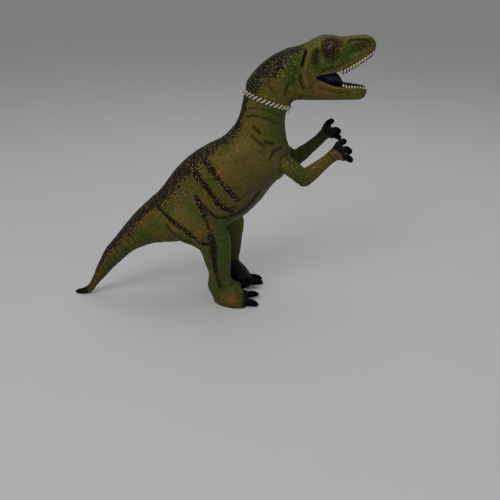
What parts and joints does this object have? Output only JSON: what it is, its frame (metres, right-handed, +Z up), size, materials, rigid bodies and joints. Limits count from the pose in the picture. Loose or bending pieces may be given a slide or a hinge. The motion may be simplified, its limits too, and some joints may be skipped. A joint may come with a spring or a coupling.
{
  "type": "toy dinosaur figure",
  "caption": "Toy dinosaur figure on two legs and its tail, mouth open, in stuffed soft vinyl with a sewn neck seam and arms that turn.",
  "frame": {"origin": "on the floor under the middle of the figure's box", "axes": "+X forward towards the snout, +Y to the figure's left, +Z up"},
  "size_m": [0.298, 0.0767, 0.26],
  "materials": {
    "body_vinyl": "satin soft vinyl, painted stripes and net",
    "head_vinyl": "satin soft vinyl, scaled, painted",
    "arm_vinyl": "satin soft vinyl, scaled, dark fingers",
    "thread": "cream sewing thread",
    "fibre": "loose white fibre",
    "eye": "gloss, dark red",
    "teeth": "cream",
    "tongue": "semi-gloss, blue violet"
  },
  "bodies": {
    "body": {"body_skin": "body_vinyl", "head_skin": "head_vinyl", "neck_stitching": "thread", "fibre_filling": "fibre", "right_eye": "eye", "left_eye": "eye", "upper_teeth": "teeth", "lower_teeth": "teeth", "tongue": "tongue"},
    "right_arm": {"right_arm": "arm_vinyl"},
    "left_arm": {"left_arm": "arm_vinyl"}
  },
  "joints": [
    {"name": "right_shoulder", "type": "hinge", "parent": "body", "child": "right_arm", "pos_m": [0.06943, -0.01625, 0.15002], "axis": [0.7431, -0.6691, 0], "continuous": true},
    {"name": "left_shoulder", "type": "hinge", "parent": "body", "child": "left_arm", "pos_m": [0.06943, 0.01625, 0.15002], "axis": [0.7431, 0.6691, 0], "continuous": true}
  ]
}
